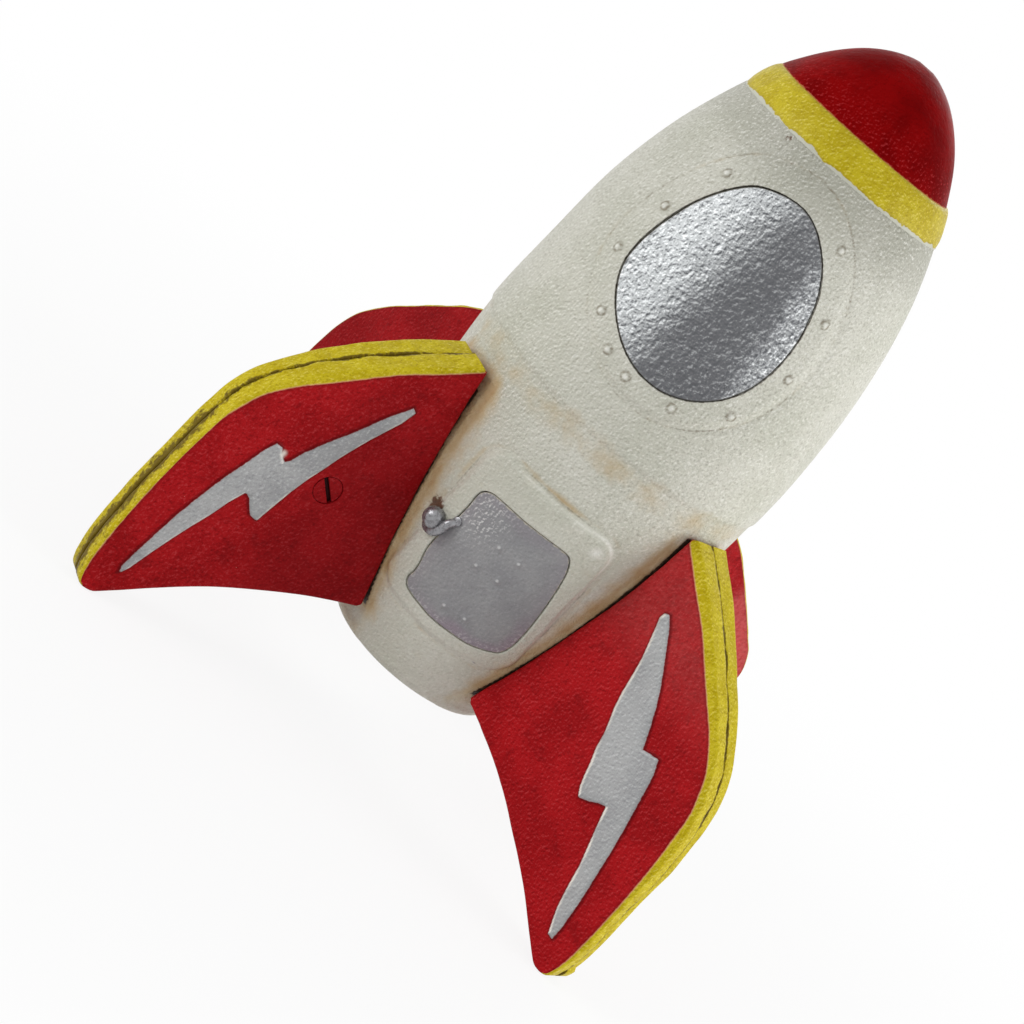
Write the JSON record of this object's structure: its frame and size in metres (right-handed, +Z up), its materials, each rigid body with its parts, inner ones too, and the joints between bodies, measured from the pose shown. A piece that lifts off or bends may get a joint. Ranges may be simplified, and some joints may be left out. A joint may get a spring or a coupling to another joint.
{
  "type": "cast metal toy space rocket",
  "caption": "Painted cast-metal space rocket standing on swept fins, with a domed nose, an egg-shaped window and a small hinged hatch.",
  "frame": {"origin": "at the level of the fin tips it stands on, under the middle of the ground it covers, 3.9 mm behind the rocket's own axis because the rear fins reach further back than the front ones reach forward", "axes": "+Z up, parallel to the rocket's axis, towards the nose, -Y towards the window and hatch, +X to the viewer's right"},
  "size_m": [0.1686, 0.13, 0.228],
  "materials": {
    "red_paint": "glossy deep red enamel over cast metal",
    "yellow_paint": "semi-gloss yellow enamel",
    "ivory_paint": "satin ivory enamel on sand-cast grain, with a tan antique wash",
    "silver_paint": "bright silver paint on a coarse cast grain",
    "grey_paint": "smooth satin grey paint",
    "steel": "plain turned steel"
  },
  "bodies": {
    "rocket": {"nose_cap": "red_paint", "nose_collar": "yellow_paint", "body_front": "ivory_paint", "body_rear": "ivory_paint", "window_dome": "silver_paint", "hinge_pin": "steel", "base_plate": "ivory_paint", "tie_rod": "steel", "tie_rod_washer": "steel", "fin_front_left_head_half": "red_paint", "fin_front_left_threaded_half": "red_paint", "fin_front_left_screw": "red_paint", "fin_front_right_head_half": "red_paint", "fin_front_right_threaded_half": "red_paint", "fin_front_right_screw": "red_paint", "fin_rear_left_head_half": "red_paint", "fin_rear_left_threaded_half": "red_paint", "fin_rear_left_screw": "red_paint", "fin_rear_right_head_half": "red_paint", "fin_rear_right_threaded_half": "red_paint", "fin_rear_right_screw": "red_paint"},
    "hatch": {"hatch_door": "grey_paint", "door_handle": "silver_paint"}
  },
  "joints": [
    {"name": "hatch_hinge", "type": "hinge", "parent": "rocket", "child": "hatch", "pos_m": [0.0124, -0.03867, 0.06399], "axis": [0, -0.2382, 0.9712], "range_deg": [0, 100]}
  ]
}
